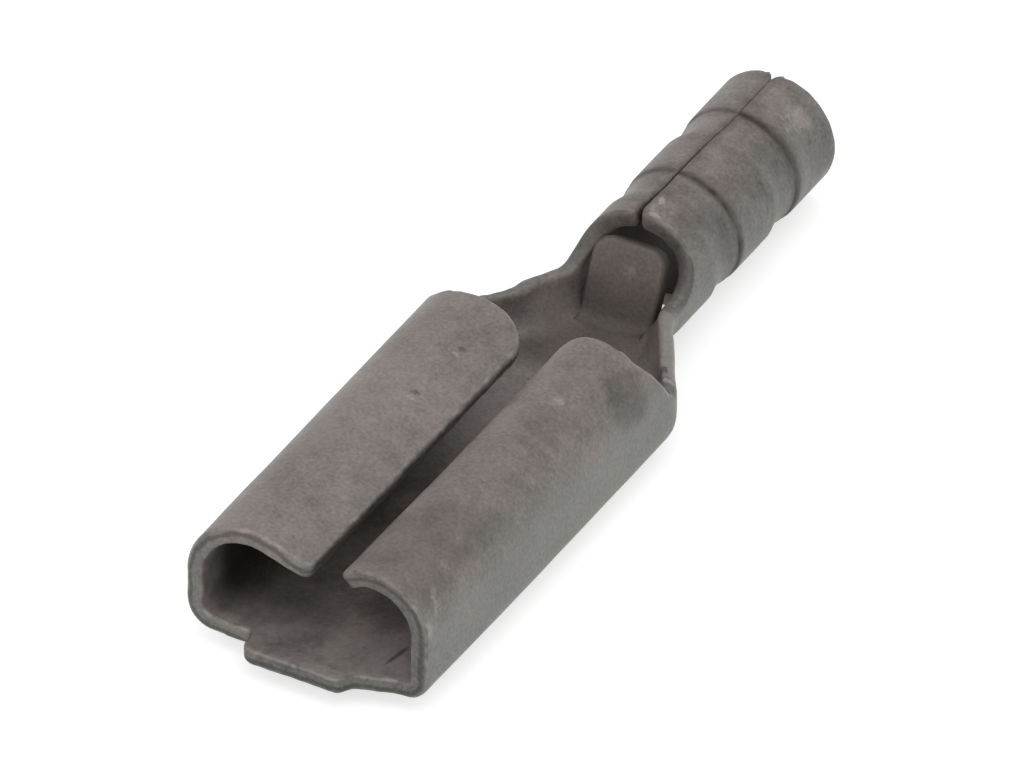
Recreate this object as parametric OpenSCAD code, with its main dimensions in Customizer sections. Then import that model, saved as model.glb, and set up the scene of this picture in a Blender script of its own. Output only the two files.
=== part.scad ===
// Uninsulated female spade terminal, folded from one strip of plated sheet metal.
// The mouth faces -Y and the wire barrel ends at +Y. The lowest line of the barrel is on Z = 0.
// Places along the terminal are counted from the mouth, heights from the floor's underside.

/* [Sheet] */
// Thickness of the sheet
sheet_t = 0.24; // [0.2:0.01:0.28]

/* [Receptacle] */
// Width across the two side walls
receptacle_w = 3.54; // [3.4:0.01:3.7]
// Length from the mouth to the end of the straight side walls
wall_len = 6.3; // [6.1:0.05:6.4]
// Outer radius of the bend at the foot of the left wall
left_foot_r = 0.42; // [0.36:0.01:0.46]
// Outer radius of the bend at the foot of the right wall
right_foot_r = 0.33; // [0.3:0.01:0.4]
// Straight height of the left wall
left_wall = 0.44; // [0.4:0.01:0.6]
// Straight height of the right wall
right_wall = 0.63; // [0.5:0.01:0.7]
// Radius of the left roll at the middle of the sheet
left_roll_r = 0.8; // [0.7:0.01:0.85]
// Radius of the right roll at the middle of the sheet
right_roll_r = 0.7; // [0.6:0.01:0.72]
// Length of the flat flap behind the left roll
left_flap = 0.7; // [0.5:0.01:0.75]
// Length of the tongue that stands out of the mouth
tongue_len = 0.37; // [0.2:0.01:0.5]
// Width of the tongue
tongue_w = 1.44; // [1:0.01:1.8]
// How far the tongue sits left of the middle
tongue_shift = 0.04; // [0:0.01:0.1]

/* [Neck] */
// Height of the neck's side walls
neck_h = 0.74; // [0.7:0.01:0.8]

/* [Wire barrel] */
// Outer radius of the barrel
barrel_r = 0.88; // [0.86:0.01:0.9]
// How far the barrel hangs below the floor
barrel_drop = 0.22; // [0.18:0.01:0.26]
// Distance from the mouth to the top of the barrel's front edge
barrel_front = 8.62; // [8.5:0.01:8.8]
// Distance from the mouth to the barrel's rear end
barrel_rear = 12.2; // [11.9:0.05:13]
// Width of the seam along the top of the barrel
seam_w = 0.03; // [0.02:0.01:0.1]

/* [Wire stop] */
// Width of the stop that is bent up out of the floor
stop_w = 1.04; // [0.8:0.01:1.1]
// How far the stop sits right of the middle
stop_shift = 0.03; // [0:0.01:0.1]
// Straight length of the stop above its bend
stop_len = 1.1; // [0.9:0.01:1.15]
// Angle between the floor and the stop
stop_angle = 61; // [55:1:70]

/* [Hidden] */
tin = [0.22, 0.2, 0.18];
arc_step = 6;
half_t = sheet_t / 2;
half_w = receptacle_w / 2;
mouth_y = -(barrel_rear - tongue_len) / 2;
floor_z = barrel_drop;
axis_z = barrel_r - barrel_drop;

// A path runs along the middle of the sheet as a list of [length, turn in degrees] steps.
function bend(r, turn) = [r * abs(turn) * PI / 180, turn];
left_roll_turn = 107;
right_roll_turn = 90;
right_curl_r = 0.5;
right_curl_turn = 50;
left_path = [
    [half_w - left_foot_r, 0],
    bend(left_foot_r - half_t, 90),
    [left_wall, 0],
    bend(left_roll_r, left_roll_turn),
    [left_flap, 0]
];
right_path = [
    [half_w - right_foot_r, 0],
    bend(right_foot_r - half_t, 90),
    [right_wall, 0],
    bend(right_roll_r, right_roll_turn),
    bend(right_curl_r, right_curl_turn)
];
function ahead(p, step, f) =
    let (h = p[2], turn = step[1] * f)
    step[1] == 0
        ? [p[0] + step[0] * f * cos(h), p[1] + step[0] * f * sin(h), h]
        : let (r = step[0] * 180 / PI / step[1])
          [p[0] + r * (sin(h + turn) - sin(h)), p[1] - r * (cos(h + turn) - cos(h)), h + turn];
function walk(path, fine = arc_step, p = [0, half_t, 0], i = 0) =
    i == len(path) ? [p] :
    let (n = path[i][1] == 0 ? 1 : ceil(abs(path[i][1]) / fine))
    concat(
        [for (k = [0 : n - 1]) ahead(p, path[i], k / n)],
        walk(path, fine, ahead(p, path[i], 1), i + 1)
    );
function beside(points, d) = [for (p = points) [p[0] + d * sin(p[2]), p[1] - d * cos(p[2])]];
function flip(points) = [for (i = [len(points) - 1 : -1 : 0]) points[i]];
function sheet(path) =
    let (p = walk(path)) concat(beside(p, half_t), flip(beside(p, -half_t)));
function ease(v) = v <= 0 ? 0 : v >= 1 ? 1 : (1 - cos(180 * v)) / 2;

// Drawing in X, Z made into a prism along the terminal
module along(from, to) {
    translate([0, mouth_y + to, floor_z]) rotate([90, 0, 0]) linear_extrude(to - from) children();
}
// Drawing in Y, Z made into a prism across the terminal
module across(from, to) {
    translate([from, mouth_y, floor_z]) rotate([90, 0, 90]) linear_extrude(to - from) children();
}
// Drawing in X, Y made into an upright prism
module upright(from, to) {
    translate([0, mouth_y, floor_z + from]) linear_extrude(to - from) children();
}
// What rounding a corner at the origin takes off a drawing that fills x < 0, y < 0
module corner_waste(r, beyond = 0.01) {
    polygon(concat(
        [[0.01, -r], [0.01, beyond], [-r, beyond]],
        [for (a = [90 : -7.5 : 0]) [r * cos(a) - r, r * sin(a) - r]]
    ));
}

// The rear edges of the rolls slope down to a sweep that runs out into the neck.
slope = 38;
left_corner_r = 0.6;
right_corner_r = 0.34;
above_walls = 1.2;
roll_end = wall_len - 0.5;
sweep_r = 0.5;
sweep_y = wall_len + 0.36;
sweep_z = neck_h - 0.04 + sweep_r;
sweep_start = [sweep_y - sweep_r * cos(slope), sweep_z - sweep_r * sin(slope)];
module behind_rolls() {
    across(-3, 3) {
        translate([sweep_y, sweep_z]) circle(r = sweep_r, $fn = 96);
        polygon([
            sweep_start, [roll_end, sweep_start[1] + (sweep_start[0] - roll_end) / tan(slope)],
            [roll_end, 3], [9, 3], [9, sweep_z - sweep_r], [sweep_y, sweep_z - sweep_r], [sweep_y, sweep_z]
        ]);
    }
    upright(above_walls, 3) {
        translate([left_tip, roll_end]) corner_waste(left_corner_r, 1);
        translate([right_tip, roll_end]) mirror([1, 0]) corner_waste(right_corner_r, 1);
    }
}
function last(path) = let (p = walk(path)) p[len(p) - 1];
left_tip = -last(left_path)[0] - half_t * sin(last(left_path)[2]);
right_tip = last(right_path)[0] + half_t * sin(last(right_path)[2]);

tongue_corner_r = 0.12;
left_fillet_r = 0.12;
right_fillet_r = 0.3;
module tongue() {
    upright(0, sheet_t) translate([-tongue_shift, 0]) {
        difference() {
            translate([-tongue_w / 2, -tongue_len]) square([tongue_w, tongue_len + 0.2]);
            for (s = [0, 1]) mirror([s, 0]) translate([tongue_w / 2, -tongue_len])
                mirror([0, 1]) corner_waste(tongue_corner_r);
        }
        translate([-tongue_w / 2, 0]) mirror([1, 0]) fillet(left_fillet_r);
        translate([tongue_w / 2, 0]) fillet(right_fillet_r);
    }
}
// Concave rounding where the tongue leaves the mouth
module fillet(r) {
    difference() {
        translate([-0.1, -r]) square([r + 0.1, r + 0.1]);
        translate([r, -r]) circle(r = r, $fn = 64);
    }
}

module receptacle() {
    difference() {
        along(0, wall_len) {
            polygon(sheet(right_path));
            mirror([1, 0]) polygon(sheet(left_path));
        }
        behind_rolls();
    }
    tongue();
}

// The neck is a loft of cross sections from the flat floor to the round barrel.
// Its two ends reach into the receptacle and the barrel, a hair inside their surfaces.
neck_to = 8.5;
reach = 0.06;
inset = 0.004;
neck_rows = 24;
wing_r = 0.6;
wing_y = barrel_front - wing_r;
// Height of a fillet's edge at a distance past the end of its level stretch
function climb(r, past) = r - sqrt(max(r * r - past * past, 0));
// The neck's rim runs level from the sweep behind the rolls to the sweep of the barrel's wings.
// There it stands proud, and the wings' sweep cuts it and the barrel in one go.
proud = 0.1;
function rim(y) =
    y < wing_y ? max(neck_h, sweep_z - sweep_r + climb(sweep_r, max(sweep_y - y, 0)))
        : neck_h + climb(wing_r, y - wing_y) + proud;
module wing_sweep() {
    across(-2, 2) {
        translate([wing_y, neck_h + wing_r]) circle(r = wing_r, $fn = 96);
        translate([wing_y, neck_h + wing_r]) square([wing_r, 2]);
    }
}
// The neck narrows in two stages, grows round and sinks, each from a place over a run.
first_stage = 0.67;
first_narrowing = [6.4, 1.08];
second_narrowing = [7.47, 0.68];
rounding = [6.4, 1.4];
sinking = [7.7, 0.6];
function stage(y, run) = ease((y - run[0]) / run[1]);
// Half a cross section: a floor, a bend and a wall, as [x, z, heading] points
function neck_half(y) =
    let (narrow = first_stage * stage(y, first_narrowing) + (1 - first_stage) * stage(y, second_narrowing),
         round = stage(y, rounding),
         low = -barrel_drop * stage(y, sinking),
         w = half_w * (1 - narrow) + barrel_r * narrow,
         foot = (left_foot_r + right_foot_r) / 2 * (1 - round) + barrel_r * round,
         r = min(foot, w - 0.002) - half_t,
         h = rim(y) - inset - low - half_t,
         turn = h < r || y > wing_y ? acos((r - h) / r) : 90,
         x0 = w - half_t - r)
    concat(
        [[0, low + half_t, 0]],
        [for (k = [0 : 10]) let (a = turn * k / 10) [x0 + r * sin(a), low + half_t + r * (1 - cos(a)), a]],
        [[x0 + r * sin(turn), low + half_t + max(h, r * (1 - cos(turn)) + 0.003), turn]]
    );
function mirrored(points) =
    concat([for (i = [len(points) - 1 : -1 : 1]) [-points[i][0], points[i][1]]], points);
function neck_ring(y, t) =
    let (p = neck_half(y))
    [for (q = concat(mirrored(beside(p, t)), flip(mirrored(beside(p, -t)))))
        [q[0], mouth_y + y, floor_z + q[1]]];
module neck() {
    from = wall_len - reach;
    to = neck_to + reach;
    rings = [for (i = [0 : neck_rows])
        let (y = from + (to - from) * i / neck_rows) neck_ring(y, half_t - inset)];
    n = len(rings[0]);
    polyhedron(
        [for (r = rings) each r],
        concat(
            [for (i = [0 : neck_rows - 1], j = [0 : n - 1])
                let (k = (j + 1) % n) [i * n + j, i * n + k, (i + 1) * n + k, (i + 1) * n + j]],
            [for (j = [0 : n / 2 - 2]) [j, n - 1 - j, n - 2 - j, j + 1]],
            [for (j = [0 : n / 2 - 2]) [for (v = [j + 1, n - 2 - j, n - 1 - j, j]) v + neck_rows * n]]
        ),
        convexity = 6
    );
}

// The barrel is a turned tube with two shallow waists, slit along the top.
waists = [9.36, 10.88];
waist_half = 0.3;
waist_depth = 0.05;
rear_corner_r = 0.16;
wing_corner_r = 0.12;
module barrel() {
    difference() {
        translate([0, mouth_y, floor_z + axis_z]) rotate([-90, 0, 0]) difference() {
            translate([0, 0, neck_to]) cylinder(r = barrel_r, h = barrel_rear - neck_to, $fn = 96);
            translate([0, 0, neck_to - 1])
                cylinder(r = barrel_r - sheet_t, h = barrel_rear - neck_to + 2, $fn = 96);
            for (w = waists) translate([0, 0, w]) waist();
        }
        upright(axis_z, 3) {
            translate([-seam_w / 2, neck_to]) square([seam_w, 5]);
            for (s = [0, 1]) mirror([s, 0]) {
                translate([seam_w / 2, barrel_rear]) mirror([1, 0]) corner_waste(rear_corner_r);
                translate([seam_w / 2, barrel_front]) rotate(180) corner_waste(wing_corner_r);
            }
        }
    }
}
// A round groove whose sides leave the tube's surface at a shallow angle
module waist() {
    groove_r = (waist_half * waist_half + waist_depth * waist_depth) / 2 / waist_depth;
    rotate_extrude($fn = 96) translate([barrel_r - waist_depth + groove_r, 0]) circle(r = groove_r, $fn = 96);
}

slot = 0.04;
stop_root = 7.7;
stop_bend_r = 0.25;
stop_corner_r = 0.22;
lead_in = 0.1;
stop_path = [[lead_in, 0], bend(stop_bend_r, stop_angle), [stop_len, 0]];
stop_reach = bend(stop_bend_r, stop_angle)[0] + stop_len;
module wire_stop() {
    tip = last(stop_path);
    start = stop_root - lead_in;
    translate([stop_shift, 0]) difference() {
        across(-stop_w / 2, stop_w / 2) translate([start, 0]) polygon(sheet(stop_path));
        translate([0, mouth_y + start + tip[0], floor_z + tip[1]])
            rotate([stop_angle, 0, 0]) translate([0, 0, -1]) linear_extrude(2)
                for (s = [0, 1]) mirror([s, 0]) translate([stop_w / 2, 0]) corner_waste(stop_corner_r);
    }
}
module stop_window() {
    translate([stop_shift, 0]) upright(-1, 0.5) difference() {
        translate([-stop_w / 2 - slot, stop_root]) square([stop_w + 2 * slot, stop_reach]);
        for (s = [0, 1]) mirror([s, 0]) translate([stop_w / 2 + slot, stop_root + stop_reach])
            corner_waste(stop_corner_r);
    }
}

module terminal() {
    color(tin) {
        receptacle();
        difference() {
            union() {
                neck();
                barrel();
            }
            stop_window();
            wing_sweep();
        }
        wire_stop();
    }
}

terminal();
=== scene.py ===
"""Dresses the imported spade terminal: cuts a flat blank, folds it and gives it its dull tin plating."""

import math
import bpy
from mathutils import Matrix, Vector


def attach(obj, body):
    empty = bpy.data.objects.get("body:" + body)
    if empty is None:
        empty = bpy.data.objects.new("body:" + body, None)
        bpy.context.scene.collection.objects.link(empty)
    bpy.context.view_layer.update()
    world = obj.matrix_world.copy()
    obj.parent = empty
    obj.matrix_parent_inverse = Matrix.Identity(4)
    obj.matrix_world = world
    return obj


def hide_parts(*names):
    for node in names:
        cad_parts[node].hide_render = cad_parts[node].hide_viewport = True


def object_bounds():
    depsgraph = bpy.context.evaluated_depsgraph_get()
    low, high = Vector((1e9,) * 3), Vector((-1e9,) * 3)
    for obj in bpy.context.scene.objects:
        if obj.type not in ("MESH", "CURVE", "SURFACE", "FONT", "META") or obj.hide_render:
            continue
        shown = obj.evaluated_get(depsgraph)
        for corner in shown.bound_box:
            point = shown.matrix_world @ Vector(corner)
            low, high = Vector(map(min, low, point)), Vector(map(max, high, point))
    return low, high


bl_info = {
    "name": "Female spade terminal",
    "version": (1, 0, 0),
    "blender": (4, 5, 0),
    "location": "3D View > Sidebar > Terminal",
    "description": "Folds a spade terminal out of a flat blank and finishes it in dull tin plating",
    "category": "Object",
}

from functools import partial
from types import SimpleNamespace

import bpy
import numpy as np
from bpy.props import FloatProperty, FloatVectorProperty, IntProperty, PointerProperty
from mathutils import Matrix, Vector
from mathutils.geometry import delaunay_2d_cdt

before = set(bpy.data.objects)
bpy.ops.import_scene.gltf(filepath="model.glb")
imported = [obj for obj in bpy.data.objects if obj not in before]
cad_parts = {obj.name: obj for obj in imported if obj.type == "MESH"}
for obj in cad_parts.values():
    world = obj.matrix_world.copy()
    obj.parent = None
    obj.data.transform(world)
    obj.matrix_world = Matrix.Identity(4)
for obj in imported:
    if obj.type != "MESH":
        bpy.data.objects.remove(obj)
CAD_BOX = [list(corner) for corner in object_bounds()]

MM = 0.001
MOUTH_END = CAD_BOX[0][1]
LEFT, RIGHT = 0, 1
SIDE_NAMES = ("Left", "Right")
RIGHT_ANGLE = math.pi / 2


# --- sizes and colours


def length(name, description, mm):
    """One length that a user may change."""
    return FloatProperty(name=name, description=description, default=mm * MM, precision=5, unit="LENGTH")


def pair(name, description, first, second, **kind):
    """Two values of one kind."""
    return FloatVectorProperty(name=name, description=description, default=(first, second), size=2, **kind)


def two_lengths(name, description, first, second):
    """Two lengths that belong together."""
    return pair(name, description, first * MM, second * MM, precision=5, unit="LENGTH")


def both_sides(name, description, left, right):
    """A length that differs between the left and the right side."""
    return two_lengths(name, description + ", left and right", left, right)


def angle(name, description, degrees):
    """One angle that a user may change."""
    return FloatProperty(name=name, description=description, default=math.radians(degrees), unit="ROTATION")


def both_turns(name, description, left, right):
    """An angle that differs between the left and the right side."""
    turns = math.radians(left), math.radians(right)
    return pair(name, description + ", left and right", *turns, unit="ROTATION")


def colour(name, description, *rgb):
    """One linear colour that a user may change."""
    return FloatVectorProperty(
        name=name, description=description, default=(*rgb, 1), size=4, subtype="COLOR", min=0, max=1
    )


class TerminalSizes(bpy.types.PropertyGroup):
    """The blank's and the folds' sizes."""

    sheet: length("Sheet", "Thickness of the sheet", 0.24)
    edge_r: length("Worn edge", "How far the sheared edges are rounded in plan", 0.055)
    edge_drop: two_lengths("Edge drop", "Rounding of the edges through the sheet, in and out", 0.045, 0.085)
    seam_edge_r: length("Seam edge", "Rounding of the edges along the barrel's seam", 0.007)
    ragged: length("Ragged", "How far the sheared edges stray from their line", 0.005)
    dents: length("Dents", "How far the sheet is out of true", 0.016)
    half_w: both_sides("Half width", "Middle line to the outside of the wall", 1.77, 1.77)
    mouth_pinch: both_sides("Mouth pinch", "How much narrower the mouth is", 0, 0.03)
    foot_r: both_sides("Foot radius", "Outer radius of the bend at the wall's foot", 0.42, 0.33)
    wall: both_sides("Wall", "Straight height of the wall", 0.44, 0.63)
    roll_r: both_sides("Roll radius", "Radius of the roll at the sheet's middle", 0.8, 0.7)
    roll_turn: both_turns("Roll turn", "How far the roll turns over", 107, 90)
    flap: both_sides("Flap", "Flat length behind the roll", 0.7, 0)
    curl_r: both_sides("Curl radius", "Radius of the last curl at the sheet's middle", 0.5, 0.5)
    curl_turn: both_turns("Curl turn", "How far the last curl turns down", 0, 50)
    roll_end: both_sides("Roll length", "Mouth to the rear edge of the roll", 5.88, 5.8)
    tip_corner: both_sides("Tip corner", "Radius of the roll's rear corner", 0.68, 0.34)
    mouth_corner: length("Mouth corner", "Radius of the roll's front corner", 0.16)
    slope: angle("Slope", "Angle between the rear edges of the walls and the upright", 38)
    sweep_r: length("Sweep", "Radius of the sweep from the rear edges into the neck", 0.5)
    sweep_y: length("Sweep end", "Mouth to where the sweep has run out", 6.66)
    sweep_dip: length("Sweep dip", "How far below the neck's rim the sweep would run out", 0.04)
    tongue: both_sides("Tongue", "Middle line to the tongue's side", 0.79, 0.66)
    tongue_corner: both_sides("Tongue corner", "Radius of the tongue's corner", 0.2, 0.1)
    shoulder: both_sides("Shoulder", "How far the mouth's edge slants forward beside the tongue", 0, 0.18)
    tongue_len: length("Tongue length", "How far the tongue stands out of the mouth", 0.37)
    tongue_fillet: both_sides("Tongue fillet", "Rounding beside the tongue", 0.12, 0.14)
    neck_start: both_sides("Neck start", "Mouth to where the floor starts to narrow", 6.46, 6.24)
    second_start: both_sides("Second start", "Mouth to where it narrows again", 7.47, 7.05)
    first_stage: pair("First stage", "Share of the narrowing that comes first, left and right", 0.67, 0.52)
    neck_h: both_sides("Neck height", "Height of the neck's walls", 0.82, 0.74)
    barrel_r: length("Barrel radius", "Outer radius of the wire barrel", 0.88)
    barrel_drop: length("Barrel drop", "How far the barrel hangs below the floor", 0.22)
    barrel_front: length("Barrel front", "Mouth to the top of the barrel's front edge", 8.62)
    wing_r: both_sides("Wing sweep", "Radius of the barrel's front edges", 0.52, 0.6)
    wing_corner: both_sides("Wing corner", "Radius of the wing's front corner", 0.1, 0.18)
    barrel_rear: length("Barrel rear", "Mouth to the barrel's rear end", 12.2)
    rear_corner: length("Rear corner", "Radius of the barrel's rear corners", 0.22)
    seam: length("Seam", "Width of the slit along the top of the barrel", 0.0008)
    seam_lean: length("Seam lean", "How far the seam leans to the left at its front", 0.09)
    waists: two_lengths("Waists", "Mouth to each waist of the barrel", 9.36, 10.88)
    creases: two_lengths("Creases", "Mouth to the sharp crease behind each waist", 9.67, 11.17)
    crease_half: length("Crease half width", "Half the width of a crease", 0.075)
    crease_depth: length("Crease depth", "Depth of a crease", 0.022)
    waist_half: length("Waist half length", "Half the length of a waist", 0.3)
    waist_depth: length("Waist depth", "Depth of a waist", 0.05)
    stop_half: both_sides("Stop half width", "Middle line to the wire stop's side", 0.53, 0.5)
    stop_flare: length("Stop flare", "How much wider the stop is at its fold, on the right", 0.05)
    stop_root: length("Stop root", "Mouth to the fold of the wire stop", 7.7)
    stop_len: length("Stop length", "Length of the wire stop along the sheet", 1.4)
    stop_bend: length("Stop bend", "Radius of the stop's fold at the sheet's middle", 0.4)
    stop_corner: length("Stop corner", "Radius of the stop's corners", 0.26)
    stop_turn: angle("Stop turn", "Angle between the floor and the wire stop", 61)
    stop_gap: length("Stop gap", "Gap beside the wire stop", 0.012)
    mesh_step: length("Mesh step", "Spacing of the blank's mesh", 0.08)
    edge_step: length("Edge step", "Spacing of the points along an edge", 0.05)


class TerminalFinish(bpy.types.PropertyGroup):
    """Colours of the plating and of the stage."""

    plating: colour("Plating", "Dull tin", 0.235, 0.2, 0.187)
    cool: colour("Cool plating", "Greener grey of the sides", 0.196, 0.194, 0.177)
    # Lighter tin: worn and handled places, and also the painted highlights on the mouth's lip, in the bore
    # and on the neck's right rim.
    lighter_tin: colour("Lighter tin", "Where handling has polished the tin", 0.44, 0.4, 0.38)
    # The dark colour for grime, and for the painted shade in the folds, along the seam and on the stop.
    grime_and_shade: colour("Grime and shade", "Brown-black in the folds", 0.035, 0.025, 0.019)
    floor: colour("Floor", "The pale floor", 0.62, 0.62, 0.62)
    seed: IntProperty(name="Seed", description="Seed of the ragged edges", default=4)


# --- one formula for numbers and node trees


class Field:
    """A value that a node tree works out at every point, and that takes part in sums like a number."""

    def __init__(self, tree, socket):
        self.tree = tree
        self.socket = socket


PLAIN = {
    "ADD": lambda a, b: a + b,
    "SUBTRACT": lambda a, b: a - b,
    "MULTIPLY": lambda a, b: a * b,
    "DIVIDE": lambda a, b: a / b,
    "MINIMUM": min,
    "MAXIMUM": max,
    "SINE": math.sin,
    "COSINE": math.cos,
    "SQRT": math.sqrt,
    "ABSOLUTE": abs,
    "GREATER_THAN": lambda a, b: float(a > b),
}


def connect(tree, value, socket):
    """Links a field to a socket, or sets the socket to a number."""
    if isinstance(value, Field):
        tree.links.new(value.socket, socket)
    else:
        socket.default_value = value


def calc(operation, *values):
    """Works out one sum, as a number or as a Math node where a value is a Field."""
    tree = next((v.tree for v in values if isinstance(v, Field)), None)
    if tree is None:
        return PLAIN[operation](*values)
    node = tree.nodes.new("ShaderNodeMath")
    node.operation = operation
    for socket, value in zip(node.inputs, values):
        connect(tree, value, socket)
    return Field(tree, node.outputs[0])


for sign, operation in (("add", "ADD"), ("sub", "SUBTRACT"), ("mul", "MULTIPLY"), ("truediv", "DIVIDE")):
    setattr(Field, f"__{sign}__", lambda self, other, kind=operation: calc(kind, self, other))
    setattr(Field, f"__r{sign}__", lambda self, other, kind=operation: calc(kind, other, self))

sine, cosine, square_root, size_of = (partial(calc, kind) for kind in ("SINE", "COSINE", "SQRT", "ABSOLUTE"))
lower, above = partial(calc, "MINIMUM"), partial(calc, "GREATER_THAN")


def higher(first, *others):
    """The highest of several values."""
    for other in others:
        first = calc("MAXIMUM", first, other)
    return first


def clamp(value):
    return lower(higher(value, 0), 1)


def within(value, low, high):
    """1 between two bounds and 0 outside them."""
    return above(value, low) * above(high, value)


def ease(v):
    """Runs smoothly from 0 to 1 as v does."""
    return (1 - cosine(math.pi * clamp(v))) / 2


def grows(value, start, run):
    """Runs smoothly from 0 at a start to 1 a run later."""
    return ease((value - start) / run)


def fades(value, end, run):
    """Runs smoothly from 1 to 0 over the run before an end."""
    return ease((end - value) / run)


def step_along(place, run, turn=0):
    """Walks a straight or evenly bent stretch of sheet, as far as there is distance left to go."""
    x, z, heading, left = place
    gone = lower(left, run)
    if isinstance(turn, (int, float)) and turn == 0:
        return x + gone * cosine(heading), z + gone * sine(heading), heading, left - gone
    least_run, least_turn = 1e-9, 1e-5
    turned = turn * gone / higher(run, least_run)
    half = higher(turned / 2, least_turn)
    chord = gone * sine(half) / half
    x, z = x + chord * cosine(heading + half), z + chord * sine(heading + half)
    return x, z, heading + turned, left - gone


# Starts and lengths of the changes from the flat floor to the round barrel, from the mouth
PINCH_RUN = 3 * MM
NECK_RUN = 1.08 * MM
NECK_END = 8.14 * MM
ROUNDING_RUN = 1.4 * MM
SINK_START, SINK_RUN = 7.7 * MM, 0.6 * MM
BARREL_FROM = 7.95 * MM
FOLD_SIZES = ("foot_r", "wall", "roll_r", "roll_turn", "flap", "curl_r", "curl_turn")
SIDE_SIZES = ("half_w", "mouth_pinch") + FOLD_SIZES + ("neck_start", "second_start", "first_stage")
COMMON_SIZES = ("sheet", "barrel_r", "barrel_drop")


def section(across, along, v):
    """Place and heading of the sheet's middle, at a distance across it from its middle line."""
    narrow = v.first_stage * grows(along, v.neck_start, NECK_RUN)
    narrow = narrow + (1 - v.first_stage) * grows(along, v.second_start, NECK_END - v.second_start)
    rounding = grows(along, v.neck_start, ROUNDING_RUN)
    half_w = v.half_w - v.mouth_pinch * ease(1 - along / PINCH_RUN)
    half = half_w * (1 - narrow) + v.barrel_r * narrow
    bend_r = lower(v.foot_r * (1 - rounding) + v.barrel_r * rounding, half) - v.sheet / 2
    turn = RIGHT_ANGLE * (1 + above(along, BARREL_FROM))
    place = (0, 0, 0, across)
    place = step_along(place, half - v.sheet / 2 - bend_r)
    place = step_along(place, bend_r * turn, turn)
    place = step_along(place, v.wall)
    place = step_along(place, v.roll_r * v.roll_turn, v.roll_turn)
    place = step_along(place, v.flap)
    place = step_along(place, v.curl_r * v.curl_turn, v.curl_turn)
    x, z, heading, left = place
    sunk = v.barrel_drop * grows(along, SINK_START, SINK_RUN)
    return x + left * cosine(heading), z + left * sine(heading) - sunk, heading


def side_values(sizes, side):
    """The sizes that the section reads, for one side."""
    values = {name: getattr(sizes, name)[side] for name in SIDE_SIZES}
    values.update({name: getattr(sizes, name) for name in COMMON_SIZES})
    return SimpleNamespace(**values)


# --- the flat blank


def rounded(corners):
    """A line through (point, radius) corners, with each corner rounded by its radius."""
    facet, fewest = math.radians(7.5), 4
    line = []
    for i, (point, radius) in enumerate(corners):
        here = Vector(point)
        if radius == 0 or i in (0, len(corners) - 1):
            line.append(here)
            continue
        back = (Vector(corners[i - 1][0]) - here).normalized()
        on = (Vector(corners[i + 1][0]) - here).normalized()
        half = back.angle(on) / 2
        centre = here + (back + on).normalized() * radius / math.sin(half)
        start = here + back * radius / math.tan(half) - centre
        swing = (math.pi - 2 * half) * (1 if back.x * on.y - back.y * on.x < 0 else -1)
        count = max(fewest, math.ceil(abs(swing) / facet))
        line += [centre + Matrix.Rotation(swing * k / count, 2) @ start for k in range(count + 1)]
    return line


def even(line, step):
    """The same line with points no further apart than step."""
    out = [line[0]]
    for a, b in zip(line, line[1:]):
        count = max(1, math.ceil((b - a).length / step))
        out += [a.lerp(b, k / count) for k in range(1, count + 1)]
    return out


HALVINGS = 40


def crossing(height, low, high, along, v):
    """How far across the sheet its middle reaches a height above the floor's underside."""
    for _ in range(HALVINGS):
        middle = (low + high) / 2
        if section(middle, along, v)[1] + v.sheet / 2 < height:
            low = middle
        else:
            high = middle
    return low


def rear_edge(z, sizes, side):
    """How far from the mouth the wall's rear edge is, at a height above the floor's underside."""
    sweep_z = sizes.neck_h[side] - sizes.sweep_dip + sizes.sweep_r
    start_y = sizes.sweep_y - sizes.sweep_r * math.cos(sizes.slope)
    start_z = sweep_z - sizes.sweep_r * math.sin(sizes.slope)
    if z > start_z:
        return max(sizes.roll_end[side], start_y - (z - start_z) * math.tan(sizes.slope))
    return sizes.sweep_y - math.sqrt(max(sizes.sweep_r**2 - (sweep_z - z) ** 2, 0))


# Points on the wall's rear edge, on the neck's rim and on the wing's front edge
WALL_STEPS, RIM_STEPS, WING_STEPS = 60, 40, 24
# The slant beside the tongue in shoulders: its foot's lean, its reach and its rounding
FOOT_LEAN, SLANT_REACH, SLANT_ROUNDING = 0.7, 3.6, 3


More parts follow.
